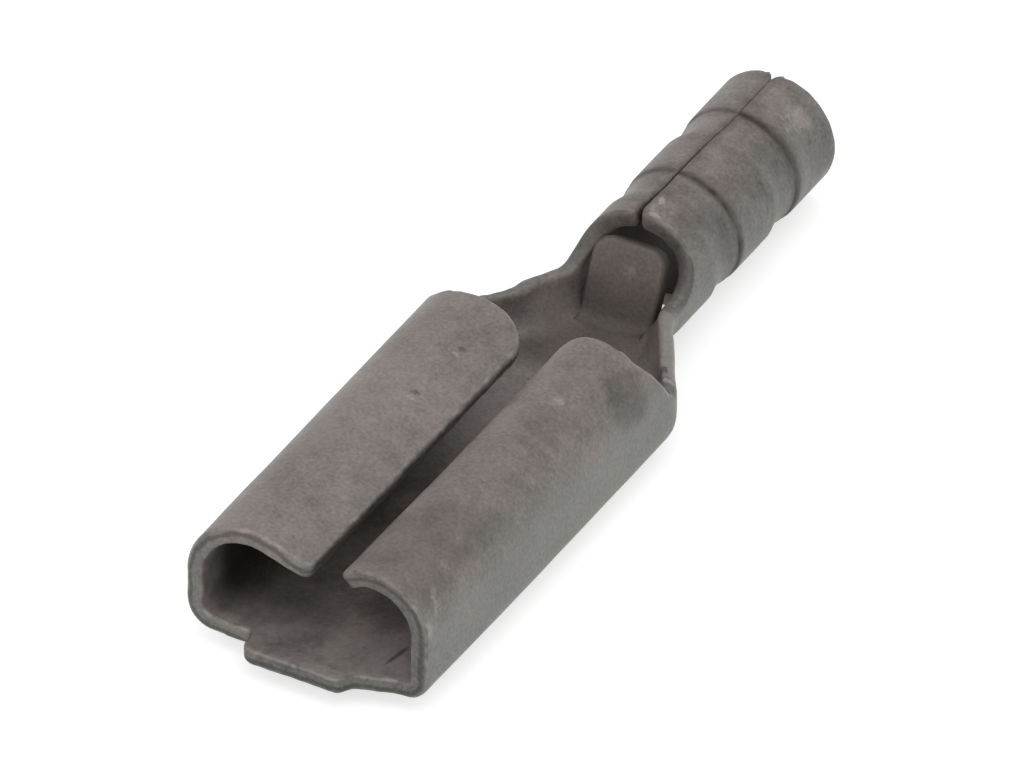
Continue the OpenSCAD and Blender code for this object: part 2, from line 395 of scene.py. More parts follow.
def half_outline(sizes, side):
    """Right-handed outline of one half of the blank, from the tongue round to the rear end."""
    v = side_values(sizes, side)
    floor_mid = v.half_w - v.foot_r
    wall_top = floor_mid + (v.foot_r - v.sheet / 2) * RIGHT_ANGLE + v.wall
    tip = wall_top + v.roll_r * v.roll_turn + v.flap + v.curl_r * v.curl_turn
    top = tip - v.flap - v.curl_r * v.curl_turn - v.roll_r * (v.roll_turn - RIGHT_ANGLE)
    roll_end, neck_h = sizes.roll_end[side], sizes.neck_h[side]
    tongue, shoulder = sizes.tongue[side], sizes.shoulder[side]
    slant = [((tongue + SLANT_REACH * shoulder, 0), SLANT_ROUNDING * shoulder)] if shoulder else []
    line = rounded(
        [
            ((0, -sizes.tongue_len), 0),
            ((tongue, -sizes.tongue_len), sizes.tongue_corner[side]),
            ((tongue + FOOT_LEAN * shoulder, -shoulder), sizes.tongue_fillet[side]),
            *slant,
            ((tip, 0), sizes.mouth_corner),
            ((tip, roll_end), sizes.tip_corner[side]),
            ((top, roll_end), 0),
        ]
    )

    def reach(height, low, high, y):
        line.append(Vector((crossing(height, low, high, y, v), y)))

    top_z = section(top, roll_end, v)[1] + v.sheet / 2
    for k in range(1, WALL_STEPS):
        z = top_z + (neck_h - top_z) * k / WALL_STEPS
        reach(z, floor_mid, top, rear_edge(z, sizes, side))
    rim_y = sizes.sweep_y - math.sqrt(sizes.sweep_r**2 - (sizes.sweep_r - sizes.sweep_dip) ** 2)
    wing_r = sizes.wing_r[side]
    wing_y = sizes.barrel_front - wing_r
    for k in range(RIM_STEPS + 1):
        reach(neck_h, 0, top, rim_y + (wing_y - rim_y) * k / RIM_STEPS)
    edge = math.pi * (v.barrel_r - v.sheet / 2) - sizes.seam / 2
    front_edge = edge + sizes.seam_lean * (1 if side == RIGHT else -1)
    for k in range(1, WING_STEPS + 1):
        a = RIGHT_ANGLE * k / WING_STEPS
        reach(neck_h + wing_r * (1 - math.cos(a)), 0, edge, wing_y + wing_r * math.sin(a))
    line += rounded(
        [
            (line[-1], 0),
            ((front_edge, sizes.barrel_front), sizes.wing_corner[side]),
            ((edge, sizes.creases[1]), 0),
            ((edge, sizes.barrel_rear), sizes.rear_corner),
            ((0, sizes.barrel_rear), 0),
        ]
    )[1:]
    return line


def plane_points(line):
    """A line's points as an array."""
    return np.array([p[:] for p in line])


def outline(sizes):
    """The blank's outer edge as a closed loop, anticlockwise."""
    right = half_outline(sizes, RIGHT)
    left = [Vector((-p.x, p.y)) for p in half_outline(sizes, LEFT)]
    return plane_points(even(right + left[-2::-1], sizes.edge_step)[:-1])


END_GAP_SHARE = 0.25


def stop_outline(sizes, grown=0):
    """The wire stop's outline in the blank, from one end of its fold to the other."""
    left, right = (half + grown for half in sizes.stop_half)
    root, corner = sizes.stop_root, sizes.stop_corner
    tip = root + sizes.stop_len + (grown - sizes.stop_gap) * END_GAP_SHARE
    foot = right + sizes.stop_flare
    return rounded([((foot, root), 0), ((right, tip), corner), ((-left, tip), corner), ((-left, root), 0)])


def stop_cut(sizes):
    """The slot sheared round the wire stop, as a closed loop, clockwise."""
    window = stop_outline(sizes, sizes.stop_gap)[::-1]
    return plane_points(even(window + stop_outline(sizes) + [window[0]], sizes.edge_step)[:-1])


STRAY_WAVES = (1.7 * MM, 0.8 * MM, 0.37 * MM, 0.22 * MM)
SEAM_CALM = 0.85


def stray(loop, sizes, seed):
    """Moves a loop's points a little into the material and back, as a worn shear leaves them."""
    dice = np.random.default_rng(seed)
    run = np.linalg.norm(np.roll(loop, -1, 0) - loop, axis=1)
    whole = run.sum()
    turn = np.cumsum(run) / whole * 2 * math.pi
    off = np.zeros(len(loop))
    for wave in STRAY_WAVES:
        off += dice.uniform(0.4, 1) * np.sin(round(whole / wave) * turn + dice.uniform(0, 2 * math.pi))
    off = (off - off.min()) * sizes.ragged / 2 * (1 - SEAM_CALM * along_seam(loop, sizes))
    return loop + inward(loop) * off[:, None]


def inward(loop):
    """Unit normals of a closed loop, pointing to the left of its way, into the material."""
    way = np.roll(loop, -1, 0) - loop
    way /= np.linalg.norm(way, axis=1)[:, None]
    normal = np.stack([-way[:, 1], way[:, 0]], 1)
    normal = normal + np.roll(normal, 1, 0)
    return normal / np.maximum(np.linalg.norm(normal, axis=1)[:, None], 1e-9)


def inside(points, loop):
    """Which points lie inside a closed loop."""
    x, y = points[:, 0, None], points[:, 1, None]
    x0, y0 = loop[:, 0], loop[:, 1]
    x1, y1 = np.roll(x0, -1), np.roll(y0, -1)
    spans = (y0 > y) != (y1 > y)
    slope = np.where(y1 == y0, 1, y1 - y0)
    return (spans & (x < x0 + (y - y0) * (x1 - x0) / slope)).sum(1) % 2 == 1


def nearest(points, loop):
    """Distance of each point from the closest point of a loop."""
    return np.min(np.linalg.norm(points[:, None] - loop[None], axis=2), axis=1)


def ramp(distance, run):
    """Runs straight from 0 to 1 over a run."""
    return np.clip(distance / run, 0, 1)


SEAM_NEAR = 0.02 * MM
SEAM_CLOSING = 1.7 * MM


def along_seam(loop, sizes):
    """0 on most of a loop, and 1 where the barrel's seam has closed up behind the wings."""
    edge = (sizes.barrel_r - sizes.sheet / 2) * math.pi
    near_seam = np.abs(loop[:, 0]) > edge - sizes.seam - sizes.seam_lean - SEAM_NEAR
    return ramp(loop[:, 1] - sizes.barrel_front, SEAM_CLOSING) * near_seam


def rubbed_down(loop, sizes):
    """0 at the mouth's edges, and 1 along the rolls' inner edges and the neck's rims, which are rounder."""
    rolls_past, rolls_from, rolls_run = 3.2 * MM, 0.05 * MM, 0.3 * MM
    neck_run, wings_run = 0.6 * MM, 0.4 * MM
    x, y = np.abs(loop[:, 0]), loop[:, 1]
    rolls = (x > rolls_past) * ramp(y - rolls_from, rolls_run)
    neck = ramp(y - sizes.roll_end[LEFT], neck_run) * ramp(sizes.barrel_front - y, wings_run)
    return np.maximum(rolls, neck)


# How much rounder the rubbed edges and the left side of the mouth are, and how much sharper the slot
RUBBED_MORE, LEFT_MOUTH_MORE, SLOT_SHARE = 0.7, 0.5, 0.7
LEFT_MOUTH, LEFT_MOUTH_RUN = -1.2 * MM, 0.2 * MM
SLOT_END_RUN, SLOT_END_SHARE = 0.35 * MM, 0.1
EDGE_STEPS = 5
LEAST_FLAT = 0.005 * MM


def edge_profile(loop, sizes):
    """(inset, height) steps across a sheared edge, from the upper face to the lower one."""
    x, y = loop.T
    left_mouth = (x < LEFT_MOUTH) * (1 - ramp(y, LEFT_MOUTH_RUN))
    inset = sizes.edge_r * (1 + RUBBED_MORE * rubbed_down(loop, sizes) + LEFT_MOUTH_MORE * left_mouth)
    inset += (sizes.seam_edge_r - sizes.edge_r) * along_seam(loop, sizes)
    from_root = np.maximum(ramp(y - sizes.stop_root, SLOT_END_RUN), SLOT_END_SHARE)
    in_slot = (np.abs(x) < max(sizes.stop_half) + 2 * sizes.stop_gap) & (y > 0) & (y < sizes.barrel_rear - MM)
    inset *= np.where(in_slot, from_root * SLOT_SHARE, 1)
    turns = [RIGHT_ANGLE * k / EDGE_STEPS for k in range(EDGE_STEPS + 1)]
    half = sizes.sheet / 2
    corners = []
    for drop in sizes.edge_drop:
        drops = np.minimum(drop * inset / sizes.edge_r, half - LEAST_FLAT)
        corners.append([(inset * (1 - math.sin(a)), half - drops * (1 - math.cos(a))) for a in turns])
    inner, outer = corners
    return inner + [(inset * 0, inset * 0)] + [(step, -height) for step, height in outer[::-1]]


# A crease's own rows, and the stretch without other rows, in half widths of the crease
CREASE_REACH, CREASE_CLEAR, CREASE_ROWS = 1.3, 1.6, 9
RIM_CLEAR_SHARE = 0.55


def mesh_rows(low, high, sizes):
    """Where the blank's mesh has its rows, with more of them at the creases."""
    rows = np.arange(low, high, sizes.mesh_step)
    for crease in sizes.creases:
        rows = rows[np.abs(rows - crease) > CREASE_CLEAR * sizes.crease_half]
        own_rows = np.linspace(-CREASE_REACH, CREASE_REACH, CREASE_ROWS)
        rows = np.append(rows, crease + sizes.crease_half * own_rows)
    return np.sort(rows)


def flat_blank(sizes, seed):
    """The flat blank: its points, its faces, each point's distance from the rim and which are on an edge."""
    loops = [stray(outline(sizes), sizes, seed), stop_cut(sizes)]
    profiles = [edge_profile(loop, sizes) for loop in loops]
    normals = [inward(loop) for loop in loops]
    insets = [profile[0][0][:, None] for profile in profiles]
    rims = [loop + normal * inset for loop, normal, inset in zip(loops, normals, insets)]
    low, high = rims[0].min(0), rims[0].max(0)
    across = np.arange(low[0], high[0], sizes.mesh_step)
    grid = np.stack(np.meshgrid(across, mesh_rows(low[1], high[1], sizes)), -1).reshape(-1, 2)
    grid = grid[inside(grid, rims[0]) & ~inside(grid, rims[1])]
    from_rims = np.minimum(nearest(grid, rims[0]), nearest(grid, rims[1]))
    grid = grid[from_rims > sizes.mesh_step * RIM_CLEAR_SHARE]
    points = np.concatenate([*rims, grid])
    edges, first = [], 0
    for rim in rims:
        edges += [(first + k, first + (k + 1) % len(rim)) for k in range(len(rim))]
        first += len(rim)
    made = delaunay_2d_cdt([Vector(p) for p in points / MM], edges, [], 1, 1e-6)
    flat = plane_points(made[0]) * MM
    faces = np.array(made[2])
    faces = faces[~inside(flat[faces].mean(1), rims[1])]
    where = {old: new for new, olds in enumerate(made[3]) for old in olds}
    half = sizes.sheet / 2
    layers = [np.column_stack([flat, np.full(len(flat), height)]) for height in (half, -half)]
    rim_distance = np.tile(np.minimum(nearest(flat, loops[0]), nearest(flat, loops[1])), 2)
    all_faces = [list(f) for f in faces] + [[v + len(flat) for v in f[::-1]] for f in faces]
    count, first = 2 * len(flat), 0
    for loop, normal, profile in zip(loops, normals, profiles):
        n = len(loop)
        rings = [[where[first + k] for k in range(n)]]
        for inset, height in profile[1:-1]:
            layers.append(np.column_stack([loop + normal * inset[:, None], height]))
            rings.append(list(range(count, count + n)))
            count += n
        rings.append([where[first + k] + len(flat) for k in range(n)])
        for a, b in zip(rings, rings[1:]):
            all_faces += [[a[k], b[k], b[(k + 1) % n], a[(k + 1) % n]] for k in range(n)]
        first += n
    sheared = np.arange(count) >= 2 * len(flat)
    rim_distance = np.append(rim_distance, np.zeros(count - len(rim_distance)))
    return np.concatenate(layers), all_faces, rim_distance, sheared


RIM_REACH = 0.3 * MM
UV_SPAN = 15 * MM


def blank_object(sizes, seed):
    """The flat blank as an object, with marks on it for the folds and for the finish."""
    points, faces, rim_distance, sheared = flat_blank(sizes, seed)
    mesh = bpy.data.meshes.new("blank")
    mesh.from_pydata(points.tolist(), [], faces)
    stop = plane_points(stop_outline(sizes, sizes.stop_gap / 2))
    from_crease = np.min([np.abs(points[:, 1] - crease) for crease in sizes.creases], axis=0)
    marks_on_points = {
        "stop": inside(points, stop),
        "sheared": sheared,
        "through": points[:, 2] / (sizes.sheet / 2),
        "rim": np.minimum(rim_distance / RIM_REACH, 1),
        "crease": np.exp(-((from_crease / sizes.crease_half) ** 2)),
    }
    for name, mark in marks_on_points.items():
        mesh.attributes.new(name, "FLOAT", "POINT").data.foreach_set("value", mark.astype(np.float32))
    uv = mesh.uv_layers.new(name="blank")
    corner_points = np.zeros(len(mesh.loops), np.int32)
    mesh.loops.foreach_get("vertex_index", corner_points)
    uv.data.foreach_set("uv", (points[corner_points, :2] / UV_SPAN + 0.5).astype(np.float32).ravel())
    mesh.shade_smooth()
    obj = bpy.data.objects.new("blank", mesh)
    bpy.context.scene.collection.objects.link(obj)
    return obj


# --- node trees


def new_tree(name, kind, inputs, outputs):
    """A node group with named sockets, its group input and its group output."""
    tree = bpy.data.node_groups.new(name, kind)
    for way, sockets in (("INPUT", inputs), ("OUTPUT", outputs)):
        for title, socket in sockets:
            tree.interface.new_socket(title, in_out=way, socket_type="NodeSocket" + socket)
    return tree, tree.nodes.new("NodeGroupInput"), tree.nodes.new("NodeGroupOutput")


def add(tree, kind, inputs, **settings):
    """Adds a node with its settings, feeds its inputs and gives its first output."""
    node = tree.nodes.new(kind)
    for name, value in settings.items():
        setattr(node, name, value)
    for key, value in inputs.items():
        connect(tree, value, node.inputs[key])
    return Field(tree, node.outputs[0])


def separate(tree, vector):
    """The three parts of a vector."""
    node = tree.nodes.new("ShaderNodeSeparateXYZ")
    connect(tree, vector, node.inputs[0])
    return [Field(tree, socket) for socket in node.outputs]


def combine(tree, *parts):
    """A vector out of its parts."""
    return add(tree, "ShaderNodeCombineXYZ", dict(enumerate(parts)))


# --- the folds, as Geometry Nodes


def title_of(name):
    """A size's name as its socket shows it."""
    return name.replace("_", " ").capitalize()


def folded_side_tree():
    """One side's cross section: where the sheet's middle lies, and which way it heads."""
    names = ("across", "along") + SIDE_SIZES + COMMON_SIZES
    tree, given, result = new_tree(
        "Folded side",
        "GeometryNodeTree",
        [(title_of(name), "Float") for name in names],
        [("X", "Float"), ("Z", "Float"), ("Heading", "Float")],
    )
    fields = {name: Field(tree, given.outputs[title_of(name)]) for name in names}
    across, along = fields.pop("across"), fields.pop("along")
    for value, socket in zip(section(across, along, SimpleNamespace(**fields)), result.inputs):
        connect(tree, value, socket)
    return tree


STOP_SIZES = ("stop_root", "stop_bend", "stop_turn")
RINGS = ("Waist", "Crease")
WAIST_SIZES = ("waist_half", "waist_depth", "crease_half", "crease_depth", "dents")
DENT_SPAN, DENT_DETAIL = 1.1 * MM, 1.5
SEAM_FROM, SEAM_RUN, SEAM_SHALLOWER = 1.7 * MM, 0.6 * MM, 0.6
STOP_FLATTENS = 0.5 * MM


def fold_tree():
    """Folds the flat blank: every point keeps its distance along and across the sheet."""
    common = COMMON_SIZES + STOP_SIZES + WAIST_SIZES
    floats = [f"{side} {title_of(name).lower()}" for side in SIDE_NAMES for name in SIDE_SIZES]
    floats += [title_of(name) for name in common]
    floats += [f"{ring} {k + 1}" for ring in RINGS for k in range(2)]
    floats += ["Mouth"]
    inputs = [("Blank", "Geometry"), *((name, "Float") for name in floats), ("Finish", "Material")]
    tree, given, result = new_tree("Fold the blank", "GeometryNodeTree", inputs, [("Terminal", "Geometry")])
    fields = {name: Field(tree, given.outputs[name]) for name in floats}
    v = SimpleNamespace(**{name: fields[title_of(name)] for name in common})
    position = add(tree, "GeometryNodeInputPosition", {})
    s, y, n = separate(tree, position)
    half = v.sheet / 2

    # the wire stop is the stretch of sheet inside its slot
    past_root = y - v.stop_root
    on_stop = add(tree, "GeometryNodeInputNamedAttribute", {"Name": "stop"})
    section_y = y - past_root * on_stop

    # the waists and creases press the outer face in, and leave the bore round
    pressed = 0
    for k in range(2):
        from_waist = (y - fields[f"Waist {k + 1}"]) / v.waist_half
        from_crease = (y - fields[f"Crease {k + 1}"]) / v.crease_half
        groove = higher(1 - from_crease * from_crease, 0)
        waist = v.waist_depth * higher(1 - from_waist * from_waist, 0)
        pressed = pressed + waist + v.crease_depth * groove * groove
    at_seam = grows(size_of(s), SEAM_FROM, SEAM_RUN)
    n = n + pressed * (1 - SEAM_SHALLOWER * at_seam) * (half - n) / v.sheet

    # handling leaves the sheet a little out of true
    noise = {"Vector": position, "Scale": 1 / DENT_SPAN, "Detail": DENT_DETAIL}
    n = n + v.dents * add(tree, "ShaderNodeTexNoise", noise)

    sides = []
    for side in SIDE_NAMES:
        given_side = {title_of(name): fields[f"{side} {title_of(name).lower()}"] for name in SIDE_SIZES}
        given_side.update({title_of(name): fields[title_of(name)] for name in COMMON_SIZES})
        given_side.update({"Across": size_of(s), "Along": section_y})
        sides.append(group_fields(tree, "GeometryNodeGroup", "Folded side", given_side).values())
    on_right = above(s, 0)
    x, z, heading = (left + (right - left) * on_right for left, right in zip(*sides))
    x = (x - n * sine(heading)) * (2 * on_right - 1)
    z = z + n * cosine(heading)

    # the stop leaves the curved floor and flattens as it rises
    place = (0, 0, 0, higher(past_root, 0))
    ahead, up, tilt, left = step_along(place, v.stop_bend * v.stop_turn, v.stop_turn)
    ahead, up = ahead + left * cosine(tilt), up + left * sine(tilt)
    flat = ease(past_root / STOP_FLATTENS)
    stop_x = x + (s - x) * flat
    stop_y = v.stop_root + ahead - n * sine(tilt)
    stop_z = (z - n * cosine(heading)) * (1 - flat) + up + n * cosine(tilt)

    x = x + (stop_x - x) * on_stop
    z = z + (stop_z - z) * on_stop
    y = y + (stop_y - y) * on_stop

    folded = combine(tree, x, y + fields["Mouth"], z + v.barrel_drop + half)
    blank, finish = (Field(tree, given.outputs[name]) for name in ("Blank", "Finish"))
    moved = add(tree, "GeometryNodeSetPosition", {"Geometry": blank, "Position": folded})
    real = add(tree, "GeometryNodeRealizeInstances", {"Geometry": moved})
    finished = add(tree, "GeometryNodeSetMaterial", {"Geometry": real, "Material": finish})
    connect(tree, finished, result.inputs[0])
    return tree


def set_inputs(modifier, values):
    """Gives a modifier's inputs by name, through their sockets' identifiers."""
    for item in modifier.node_group.interface.items_tree:
        if item.item_type == "SOCKET" and item.in_out == "INPUT" and item.name in values:
            modifier[item.identifier] = values[item.name]


def fold(blank, sizes, material):
    """Runs the folds on the blank and returns the plain folded piece."""
    folded_side_tree()
    modifier = blank.modifiers.new("Fold the blank", "NODES")
    modifier.node_group = fold_tree()
    values = {title_of(name): getattr(sizes, name) for name in COMMON_SIZES + STOP_SIZES + WAIST_SIZES}
    for side, side_name in enumerate(SIDE_NAMES):
        for name in SIDE_SIZES:
            values[f"{side_name} {title_of(name).lower()}"] = getattr(sizes, name)[side]
    for ring, places in zip(RINGS, (sizes.waists, sizes.creases)):
        values.update({f"{ring} {k + 1}": place for k, place in enumerate(places)})
    values["Mouth"] = MOUTH_END + sizes.tongue_len
    values["Finish"] = material
    set_inputs(modifier, values)
    depsgraph = bpy.context.evaluated_depsgraph_get()
    evaluated = blank.evaluated_get(depsgraph)
    mesh = bpy.data.meshes.new_from_object(evaluated, preserve_all_data_layers=True, depsgraph=depsgraph)
    blank.modifiers.remove(modifier)
    piece = bpy.data.objects.new("folded_terminal", mesh)
    bpy.context.scene.collection.objects.link(piece)
    bpy.data.objects.remove(blank)
    return piece


# --- the finish's node groups


def blend(tree, share, under, over):
    """Lays one colour over another."""
    node = tree.nodes.new("ShaderNodeMix")
    node.data_type = "RGBA"
    factor = next(socket for socket in node.inputs if socket.identifier == "Factor_Float")
    colours = [socket for socket in node.inputs if socket.type == "RGBA"]
    for value, socket in zip((share, under, over), (factor, *colours)):
        connect(tree, value, socket)
    return Field(tree, next(socket for socket in node.outputs if socket.type == "RGBA"))


def group_fields(tree, kind, name, inputs):
    """Places a group and gives its outputs by name."""
    node = tree.nodes.new(kind)
    node.node_tree = bpy.data.node_groups[name]
    for title, value in inputs.items():
        connect(tree, value, node.inputs[title])
    return {socket.name: Field(tree, socket) for socket in node.outputs}


def noise_at(tree, place, scale, detail, **more):
    """Noise of a fineness, from about 0 to 1."""
    return add(tree, "ShaderNodeTexNoise", {"Vector": place, "Scale": scale, "Detail": detail, **more})


def attribute(tree, name):
    """One of the marks that the blank carries."""
    node = tree.nodes.new("ShaderNodeAttribute")
    node.attribute_name = name
    return Field(tree, node.outputs["Fac"])


def mottling_group():
    """Uneven plating: soft blotches and a fine grain."""
    inputs = [("Place", "Vector"), ("Size", "Float")]
    tree, given, result = new_tree(
        "Mottling", "ShaderNodeTree", inputs, [("Blotches", "Float"), ("Grain", "Float")]
    )
    place, size = (Field(tree, socket) for socket in given.outputs[:2])
    for name, finer, detail in (("Blotches", 1, 3), ("Grain", 6, 2)):
        noise = noise_at(tree, place, finer / size, detail, Roughness=0.62)
        connect(tree, noise - 0.5, result.inputs[name])


MARK_SIZES = ("Across", "Along", "Half width", "Half length", "Turn", "Ragged")


def mark_group():
    """One soft-edged mark at a place on the blank."""
    coarseness, reach, softness = 1.5, 1.15, 0.7
    inputs = [("Flat", "Vector")] + [(name, "Float") for name in MARK_SIZES]
    tree, given, result = new_tree("Mark", "ShaderNodeTree", inputs, [("Mask", "Float")])
    flat, across, along, half_width, half_length, turn, ragged = (
        Field(tree, given.outputs[name]) for name, _ in inputs
    )
    x, y = separate(tree, flat)[:2]
    x, y = x - across, y - along
    c, s = cosine(turn), sine(turn)
    u, w = (x * c + y * s) / half_width, (y * c - x * s) / half_length
    noise = noise_at(tree, flat, coarseness / half_width, 3)
    away = square_root(u * u + w * w) + (noise - 0.5) * ragged
    connect(tree, fades(away, reach, softness), result.inputs[0])


def specks_group():
    """Tiny scattered specks."""
    cell, raggedness = 0.25, 0.9
    least, spread, stray_share, softness = 0.08, 0.2, 0.7, 0.2
    inputs = [("Place", "Vector"), ("Size", "Float"), ("Share", "Float")]
    tree, given, result = new_tree("Specks", "ShaderNodeTree", inputs, [("Mask", "Float")])
    place, size, share = (Field(tree, socket) for socket in given.outputs[:3])
    cells = tree.nodes.new("ShaderNodeTexVoronoi")
    connect(tree, place, cells.inputs["Vector"])
    connect(tree, cell / size, cells.inputs["Scale"])
    chosen = tree.nodes.new("ShaderNodeSeparateColor")
    tree.links.new(cells.outputs["Color"], chosen.inputs[0])
    picked = above(share, Field(tree, chosen.outputs[0]))
    ragged = noise_at(tree, place, raggedness / size, 2) - 0.5
    wide = least + spread * Field(tree, chosen.outputs[1]) + stray_share * ragged
    from_rim = (wide - Field(tree, cells.outputs["Distance"])) / softness
    connect(tree, clamp(from_rim) * picked, result.inputs[0])


def wear_group():
    """Where the sheet's corners are rubbed, and the darker line that shearing leaves on its edges."""
    fine_span, slow_span = 0.16 * MM, 0.7 * MM
    corner_from, corner_run, rim_share, rim_fall, patchiness = 0.66, 0.2, 1.25, 5, 2.6
    line_at, line_sway, line_half, line_run = 0.28, 1.1, 0.42, 0.34
    inputs = [("Place", "Vector"), ("Amount", "Float")]
    tree, given, result = new_tree(
        "Edge wear", "ShaderNodeTree", inputs, [("Worn", "Float"), ("Shear line", "Float")]
    )
    place, amount = (Field(tree, socket) for socket in given.outputs[:2])
    sheared, through, rim = (attribute(tree, name) for name in ("sheared", "through", "rim"))
    noise = noise_at(tree, place, 1 / fine_span, 3) - 0.5
    corner = clamp((size_of(through) - corner_from) / corner_run) * clamp(rim_share - rim_fall * rim)
    connect(tree, clamp(corner * (amount + patchiness * noise)), result.inputs["Worn"])
    sway = noise_at(tree, place, 1 / slow_span, 2) - 0.5
    from_line = size_of(through + line_at + line_sway * sway) + 0.5 * noise
    connect(tree, sheared * fades(from_line, line_half, line_run), result.inputs["Shear line"])


# --- the finish

# Marks on the blank: across, along, half width and half length in millimetres, turn in degrees,
# raggedness and strength
PITS = ((-3.88, 4.8, 0.06, 0.06, 0, 1.6, 0.7), (-3.83, 3.7, 0.08, 0.05, 0, 1.6, 0.7))
SCRATCHES = (
    (1.05, 0.46, 0.035, 0.26, -10, 0.8, 1),
    (1.12, 1.0, 0.04, 0.2, -40, 1, 0.6),
    (1.8, 6.8, 0.08, 0.12, 0, 1.2, 1),
    (-0.6, 6.77, 0.08, 0.06, 0, 1.6, 0.6),
    (0.7, 1.5, 0.8, 0.65, 0, 1, 1),
    # The last entry is not a scratch: it darkens the fold beside the right end of the stop's slot.
    (0.76, 7.58, 0.1, 0.32, -8, 1.4, 0.8),
)
SMUDGES = (
    (2.75, 5.3, 0.42, 0.5, 20, 1.6, 0.75),
    (1.78, 10.1, 0.16, 0.75, 35, 2.2, 0.45),
    (1.95, 8.95, 0.2, 0.3, 20, 2.2, 0.4),
    (3.2, 3.9, 0.3, 0.5, 10, 2.6, 0.3),
    (3.3, 1.0, 0.7, 1.3, 0, 1.2, 0.65),
    (1.25, 11.85, 0.4, 0.35, 0, 1.4, 0.55),
    (2.16, 11.1, 0.12, 0.14, 0, 1.6, 0.6),
    (1.4, 9.35, 0.35, 0.4, 0, 1.4, 0.45),
    (3.4, 2.9, 0.5, 0.9, 0, 1.4, 0.2),
)
RUBBED = (
    (2.33, 9.03, 0.05, 0.1, -25, 1.6, 1),
    (2.36, 8.86, 0.07, 0.1, -25, 2, 0.55),
    (2.27, 8.72, 0.08, 0.06, 0, 1.4, 1),
    (0.06, 8.72, 0.1, 0.09, 0, 1.6, 0.55),
    (-3.88, 4.66, 0.08, 0.05, 0, 1.6, 0.6),
    (-3.83, 3.57, 0.09, 0.05, 0, 1.6, 0.6),
    (2.02, 6.66, 0.09, 0.07, 0, 1.2, 0.8),
    (0.3, -0.24, 0.26, 0.07, 10, 1.8, 0.8),
    (1.85, 11.68, 0.2, 0.26, 20, 2, 0.6),
    (2.95, 0.9, 0.09, 0.07, 0, 2.6, 0.45),
    (2.75, 0.42, 0.16, 0.06, 30, 2.8, 0.5),
    (2.5, 0.12, 0.14, 0.07, 0, 2.6, 0.6),
    (3.3, 4.4, 0.1, 0.07, 0, 2, 0.6),
    (-3.6, 3.5, 0.6, 1.5, 0, 1.5, 0.16),
    (-2.1, 11.2, 0.4, 0.5, 0, 1.5, 0.25),
)
# Grain sizes of the mottling, sizes and shares of the specks, and the amount of wear
BROAD, CLOSE, STREAK = 1.3 * MM, 0.3 * MM, 0.45 * MM
STREAK_SQUEEZE = 0.22
FINE_SPECKS, COARSE_SPECKS = (0.03 * MM, 0.14), (0.07 * MM, 0.08)
WEAR = 0.52
# Places along the blank, from the mouth, where the finish changes: ends, or a start or end with its run
ALONG = SimpleNamespace(
    deep=(0.05 * MM, 0.75 * MM),
    front_rims=0.5 * MM,
    lip=(0.85 * MM, 0.5 * MM),
    rolls=5.9 * MM,
    unworn=(6.2 * MM, 8.6 * MM),
    shear_line=6.4 * MM,
    neck=(6.4 * MM, 0.5 * MM),
    roll_edges=6.6 * MM,
    neck_rim_highlight=(6.7 * MM, 7.9 * MM),
    wing_edges=(7.8 * MM, 0.6 * MM),
    stop_foot=(8.2 * MM, 0.8 * MM),
    wings=(8.4 * MM, 0.5 * MM),
    barrel=8.7 * MM,
    wing_tips=8.75 * MM,
    streaks=8.9 * MM,
    neck_end=9.2 * MM,
    rear_band=(11.2 * MM, 0.6 * MM),
    seam_end=12.1 * MM,
)
# Places across the blank, from its middle line
ACROSS = SimpleNamespace(
    wings=0.95 * MM,
    deep=(1.15 * MM, 0.75 * MM),
    deep_left_shift=0.25 * MM,
    right_rim=1.3 * MM,
    floor=(1.3 * MM, 0.6 * MM),
    seam=2.1 * MM,
)
WARM_HEIGHT, WARM_RISE = 1.5 * MM, 0.8 * MM
# How strongly each kind of darkening darkens the tin: the creases, dirt in the shear line, pits, scratches
# and smudges, painted shade on the seam, the wings' edges and the stop, and dirt with painted shade in the
# rolls and the neck
DARKENING = SimpleNamespace(
    crease=0.7,
    crease_less_left=0.3,
    seam=0.5,
    wings=0.42,
    shear_line=0.5,
    rolls=0.8,
    rolls_left=0.18,
    neck=0.08,
    neck_floor=0.42,
    stop=0.13,
    stop_edge=0.7,
    pits=0.7,
    scratches=0.6,
    smudges=0.4,
)


def marks(tree, flat, places):
    """The strongest of several marks."""
    mask = 0
    for *lengths, turn, ragged, strength in places:
        values = [mm * MM for mm in lengths] + [math.radians(turn), ragged]
        mark = group_fields(tree, "ShaderNodeGroup", "Mark", {"Flat": flat, **dict(zip(MARK_SIZES, values))})
        mask = higher(mark["Mask"] * strength, mask)
    return mask


